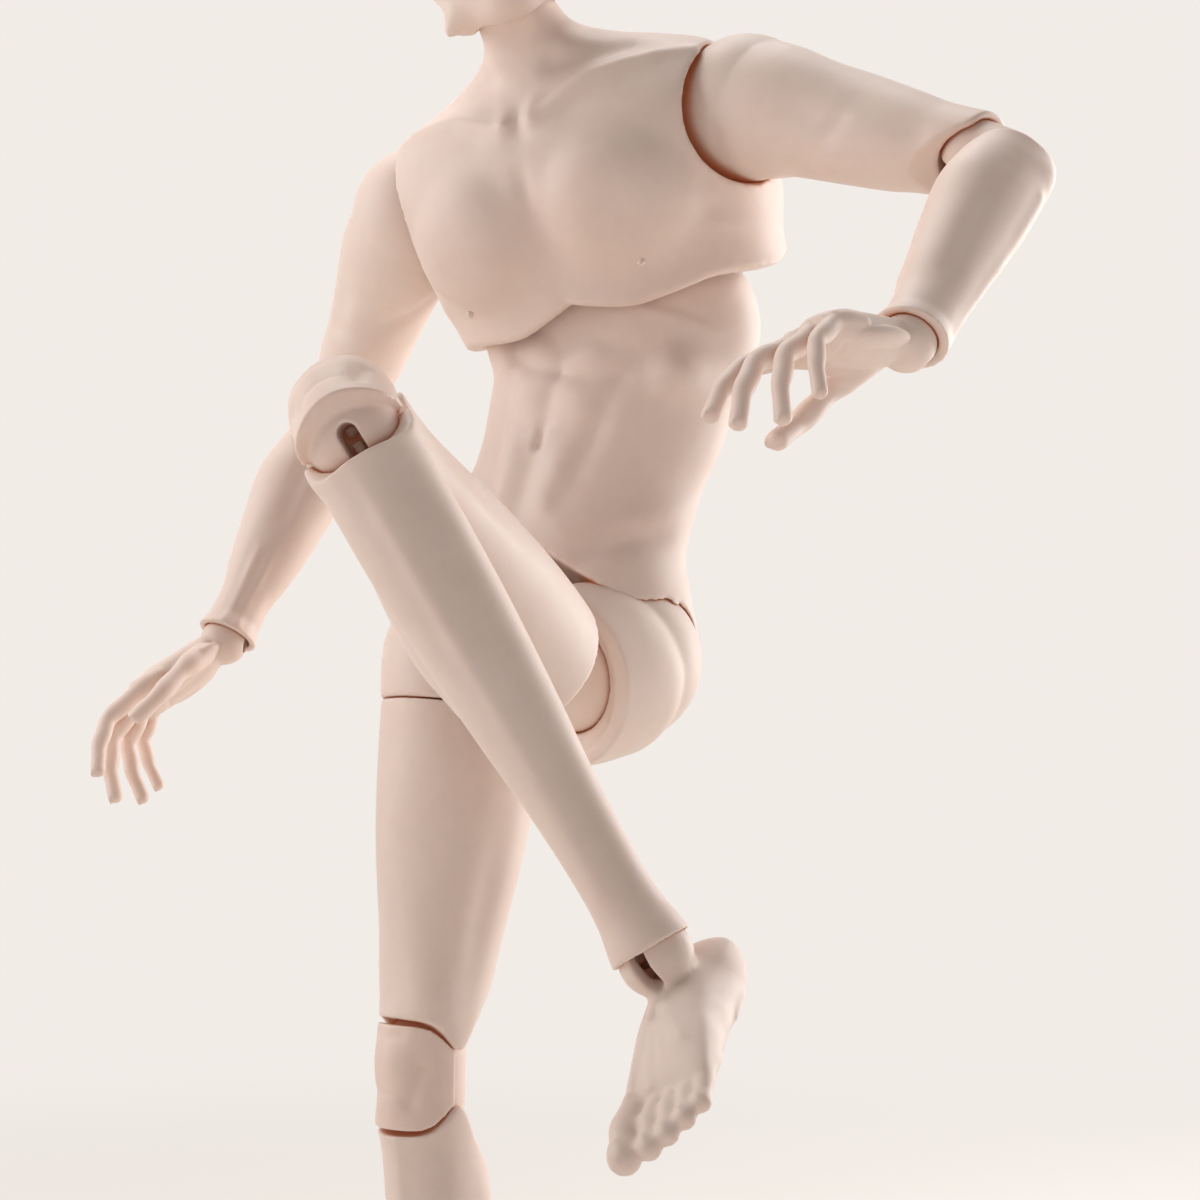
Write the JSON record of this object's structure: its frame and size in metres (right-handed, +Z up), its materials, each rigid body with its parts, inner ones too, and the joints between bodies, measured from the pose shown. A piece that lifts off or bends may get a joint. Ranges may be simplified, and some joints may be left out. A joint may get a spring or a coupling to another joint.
{
  "type": "ball jointed doll",
  "caption": "Strung ball jointed doll of cast resin with a muscular male body, double elbows and knees, standing on one leg with the other knee raised",
  "frame": {"origin": "the middle of the flat sole of the standing right foot, on the ground", "axes": "+Z up, the pelvis faces -Y and the doll's left side is towards +X"},
  "size_m": [0.3783, 0.2652, 0.7153],
  "materials": {
    "resin": "cast polyurethane resin in a pale pinkish cream, satin to matt",
    "elastic": "round braided elastic cord, off-white",
    "steel": "bent bright steel wire",
    "eye_glass": "polished eyeball, grey blue"
  },
  "bodies": {
    "pelvis_body": {"lower_torso": "resin", "left_leg_cord": "elastic", "right_leg_cord": "elastic"},
    "waist_cord_body": {"waist_cord": "elastic"},
    "torso_cord_body": {"torso_cord": "elastic"},
    "chest_body": {"upper_torso": "resin", "arm_cord": "elastic"},
    "neck_hook_body": {"neck_hook": "steel"},
    "head_body": {"head_face": "resin", "head_cap": "resin", "left_eye": "eye_glass", "right_eye": "eye_glass"},
    "left_shoulder_cord_body": {"left_shoulder_cord": "elastic"},
    "left_upper_arm_cord_body": {"left_upper_arm_cord": "elastic"},
    "left_upper_arm_body": {"left_upper_arm": "resin"},
    "left_elbow_body": {"left_elbow": "resin", "left_elbow_cord": "elastic"},
    "left_forearm_body": {"left_forearm": "resin", "left_forearm_cord": "elastic"},
    "left_wrist_hook_body": {"left_wrist_hook": "steel"},
    "left_hand_body": {"left_hand": "resin", "left_wrist_bar": "steel"},
    "right_shoulder_cord_body": {"right_shoulder_cord": "elastic"},
    "right_upper_arm_cord_body": {"right_upper_arm_cord": "elastic"},
    "right_upper_arm_body": {"right_upper_arm": "resin"},
    "right_elbow_body": {"right_elbow": "resin", "right_elbow_cord": "elastic"},
    "right_forearm_body": {"right_forearm": "resin", "right_forearm_cord": "elastic"},
    "right_wrist_hook_body": {"right_wrist_hook": "steel"},
    "right_hand_body": {"right_hand": "resin", "right_wrist_bar": "steel"},
    "left_hip_cord_body": {"left_hip_cord": "elastic"},
    "left_hip_shell_body": {"left_hip_shell": "resin"},
    "left_hip_ball_body": {"left_hip_ball": "resin"},
    "left_thigh_cord_body": {"left_thigh_cord": "elastic"},
    "left_thigh_body": {"left_thigh": "resin"},
    "left_knee_body": {"left_knee": "resin", "left_knee_cord": "elastic"},
    "left_shin_body": {"left_shin": "resin", "left_shin_cord": "elastic"},
    "left_ankle_hook_body": {"left_ankle_hook": "steel"},
    "left_foot_body": {"left_foot": "resin", "left_ankle_bar": "steel"},
    "right_hip_cord_body": {"right_hip_cord": "elastic"},
    "right_hip_shell_body": {"right_hip_shell": "resin"},
    "right_hip_ball_body": {"right_hip_ball": "resin"},
    "right_thigh_cord_body": {"right_thigh_cord": "elastic"},
    "right_thigh_body": {"right_thigh": "resin"},
    "right_knee_body": {"right_knee": "resin", "right_knee_cord": "elastic"},
    "right_shin_body": {"right_shin": "resin", "right_shin_cord": "elastic"},
    "right_ankle_hook_body": {"right_ankle_hook": "steel"},
    "right_foot_body": {"right_foot": "resin", "right_ankle_bar": "steel"}
  },
  "joints": [
    {"name": "waist_tilt", "type": "hinge", "parent": "pelvis_body", "child": "waist_cord_body", "pos_m": [0.06355, 0.05576, 0.51596], "axis": [0.9811, -0.039, -0.1895], "range_deg": [-29, 4]},
    {"name": "waist_lean", "type": "hinge", "parent": "waist_cord_body", "child": "torso_cord_body", "pos_m": [0.06355, 0.05576, 0.51596], "axis": [0.123, 0.8816, 0.4558], "range_deg": [0, 24]},
    {"name": "waist_turn", "type": "hinge", "parent": "torso_cord_body", "child": "chest_body", "pos_m": [0.06355, 0.05576, 0.51596], "axis": [-0.127, -0.4415, 0.8882], "range_deg": [-18, 0]},
    {"name": "neck_turn", "type": "hinge", "parent": "chest_body", "child": "neck_hook_body", "pos_m": [0.0463, 0.00059, 0.63356], "axis": [-0.127, -0.4415, 0.8882], "range_deg": [-69, 21]},
    {"name": "neck_nod", "type": "hinge", "parent": "neck_hook_body", "child": "head_body", "pos_m": [0.0463, 0.00059, 0.63356], "axis": [0.8037, 0.479, 0.353], "range_deg": [0, 14]},
    {"name": "left_shoulder_swing", "type": "hinge", "parent": "chest_body", "child": "left_shoulder_cord_body", "pos_m": [0.12506, 0.04224, 0.59009], "axis": [0.9707, 0.129, 0.2028], "range_deg": [-72, 48]},
    {"name": "left_shoulder_raise", "type": "hinge", "parent": "left_shoulder_cord_body", "child": "left_upper_arm_cord_body", "pos_m": [0.12506, 0.04224, 0.59009], "axis": [-0.0422, 0.9222, -0.3843], "range_deg": [-30, 10]},
    {"name": "left_upper_arm_twist", "type": "hinge", "parent": "left_upper_arm_cord_body", "child": "left_upper_arm_body", "pos_m": [0.12506, 0.04224, 0.59009], "axis": [-0.9565, 0.0739, 0.2823], "range_deg": [-27, 102]},
    {"name": "left_elbow_upper", "type": "hinge", "parent": "left_upper_arm_body", "child": "left_elbow_body", "pos_m": [0.22453, 0.03456, 0.56073], "axis": [0.1708, -0.6428, 0.7467], "range_deg": [-49, 11]},
    {"name": "left_elbow_lower", "type": "hinge", "parent": "left_elbow_body", "child": "left_forearm_body", "pos_m": [0.23615, 0.03173, 0.55563], "axis": [0.1708, -0.6428, 0.7467], "range_deg": [0, 62]},
    {"name": "left_wrist_twist", "type": "hinge", "parent": "left_forearm_body", "child": "left_wrist_hook_body", "pos_m": [0.24062, -0.04347, 0.48987], "axis": [-0.0448, 0.752, 0.6576], "range_deg": [-49, 131]},
    {"name": "left_wrist_bend", "type": "hinge", "parent": "left_wrist_hook_body", "child": "left_hand_body", "pos_m": [0.24062, -0.04347, 0.48987], "axis": [0.8549, -0.3117, 0.4147], "range_deg": [-5, 94]},
    {"name": "right_shoulder_swing", "type": "hinge", "parent": "chest_body", "child": "right_shoulder_cord_body", "pos_m": [-0.01666, 0.02341, 0.56047], "axis": [0.9707, 0.129, 0.2028], "range_deg": [-97, 42]},
    {"name": "right_shoulder_raise", "type": "hinge", "parent": "right_shoulder_cord_body", "child": "right_upper_arm_cord_body", "pos_m": [-0.01666, 0.02341, 0.56047], "axis": [-0.2189, 0.8227, 0.5246], "range_deg": [-4, 41]},
    {"name": "right_upper_arm_twist", "type": "hinge", "parent": "right_upper_arm_cord_body", "child": "right_upper_arm_body", "pos_m": [-0.01666, 0.02341, 0.56047], "axis": [0.6612, -0.2702, 0.6998], "range_deg": [-47, 9]},
    {"name": "right_elbow_upper", "type": "hinge", "parent": "right_upper_arm_body", "child": "right_elbow_body", "pos_m": [-0.08543, 0.05152, 0.48769], "axis": [0.6907, 0.5833, -0.4274], "range_deg": [-28, 32]},
    {"name": "right_elbow_lower", "type": "hinge", "parent": "right_elbow_body", "child": "right_forearm_body", "pos_m": [-0.0907, 0.04922, 0.47604], "axis": [0.6907, 0.5833, -0.4274], "range_deg": [-31, 29]},
    {"name": "right_wrist_twist", "type": "hinge", "parent": "right_forearm_body", "child": "right_wrist_hook_body", "pos_m": [-0.09716, -0.00467, 0.39205], "axis": [0.0645, 0.5389, 0.8399], "range_deg": [-76, 103]},
    {"name": "right_wrist_bend", "type": "hinge", "parent": "right_wrist_hook_body", "child": "right_hand_body", "pos_m": [-0.09716, -0.00467, 0.39205], "axis": [-0.5391, 0.7271, -0.4251], "range_deg": [-77, 22]},
    {"name": "left_hip_spread", "type": "hinge", "parent": "pelvis_body", "child": "left_hip_cord_body", "pos_m": [0.07607, 0.02897, 0.38576], "axis": [0, 0.9795, -0.2015], "range_deg": [-9, 10]},
    {"name": "left_hip_swing", "type": "hinge", "parent": "left_hip_cord_body", "child": "left_hip_shell_body", "pos_m": [0.07607, 0.02897, 0.38576], "axis": [0.9738, -0.0459, -0.2229], "range_deg": [-1, 78]},
    {"name": "left_hip_ball_turn", "type": "hinge", "parent": "left_hip_shell_body", "child": "left_hip_ball_body", "pos_m": [0.07326, 0.00738, 0.38241], "axis": [0.9738, -0.0459, -0.2229], "range_deg": [-1, 24]},
    {"name": "left_thigh_tilt", "type": "hinge", "parent": "left_hip_shell_body", "child": "left_thigh_cord_body", "pos_m": [0.07897, -0.01001, 0.41094], "axis": [0.9738, -0.0459, -0.2229], "range_deg": [-2, 48]},
    {"name": "left_thigh_twist", "type": "hinge", "parent": "left_thigh_cord_body", "child": "left_thigh_body", "pos_m": [0.0713, -0.01996, 0.37946], "axis": [-0.1015, 0.789, -0.6059], "range_deg": [-3, 101]},
    {"name": "left_knee_upper", "type": "hinge", "parent": "left_thigh_body", "child": "left_knee_body", "pos_m": [0.08602, -0.13437, 0.46732], "axis": [0.7073, 0.4856, 0.5138], "range_deg": [-69, 0]},
    {"name": "left_knee_lower", "type": "hinge", "parent": "left_knee_body", "child": "left_shin_body", "pos_m": [0.09846, -0.14569, 0.4609], "axis": [0.7073, 0.4856, 0.5138], "range_deg": [-57, 4]},
    {"name": "left_ankle_twist", "type": "hinge", "parent": "left_shin_body", "child": "left_ankle_hook_body", "pos_m": [0.19384, -0.11401, 0.29966], "axis": [-0.502, -0.1668, 0.8486], "range_deg": [-25, 75]},
    {"name": "left_ankle_bend", "type": "hinge", "parent": "left_ankle_hook_body", "child": "left_foot_body", "pos_m": [0.19384, -0.11401, 0.29966], "axis": [0.8514, 0.0774, 0.5188], "range_deg": [-41, 4]},
    {"name": "right_hip_spread", "type": "hinge", "parent": "pelvis_body", "child": "right_hip_cord_body", "pos_m": [0.00151, 0.03193, 0.40015], "axis": [0, 0.9795, -0.2015], "range_deg": [-1, 23]},
    {"name": "right_hip_swing", "type": "hinge", "parent": "right_hip_cord_body", "child": "right_hip_shell_body", "pos_m": [0.00151, 0.03193, 0.40015], "axis": [1, -0.0005, -0.0026], "range_deg": [-71, 8]},
    {"name": "right_hip_ball_turn", "type": "hinge", "parent": "right_hip_shell_body", "child": "right_hip_ball_body", "pos_m": [0.00245, 0.02825, 0.37846], "axis": [1, -0.0005, -0.0026], "range_deg": [-25, 0]},
    {"name": "right_thigh_tilt", "type": "hinge", "parent": "right_hip_shell_body", "child": "right_thigh_cord_body", "pos_m": [0.00241, -0.00501, 0.37193], "axis": [1, -0.0005, -0.0026], "range_deg": [-50, 0]},
    {"name": "right_thigh_twist", "type": "hinge", "parent": "right_thigh_cord_body", "child": "right_thigh_body", "pos_m": [0.00245, 0.02825, 0.37846], "axis": [0.0027, 0.1672, 0.9859], "range_deg": [-48, 57]},
    {"name": "right_knee_upper", "type": "hinge", "parent": "right_thigh_body", "child": "right_knee_body", "pos_m": [0.00206, 0.004, 0.2355], "axis": [0.9781, -0.2055, 0.0322], "range_deg": [-6, 60]},
    {"name": "right_knee_lower", "type": "hinge", "parent": "right_knee_body", "child": "right_shin_body", "pos_m": [0.00244, 0.00298, 0.21754], "axis": [0.9781, -0.2055, 0.0322], "range_deg": [-6, 59]},
    {"name": "right_ankle_twist", "type": "hinge", "parent": "right_shin_body", "child": "right_ankle_hook_body", "pos_m": [0.01083, 0.01323, 0.028], "axis": [-0.0442, -0.054, 0.9976], "range_deg": [-22, 77]},
    {"name": "right_ankle_bend", "type": "hinge", "parent": "right_ankle_hook_body", "child": "right_foot_body", "pos_m": [0.01083, 0.01323, 0.028], "axis": [0.7737, -0.6335, 0], "range_deg": [-16, 33]}
  ],
  "couplings": [
    {"joint": "left_hip_ball_turn", "follows": "left_thigh_tilt", "ratio": 0.5},
    {"joint": "right_hip_ball_turn", "follows": "right_thigh_tilt", "ratio": 0.5}
  ]
}
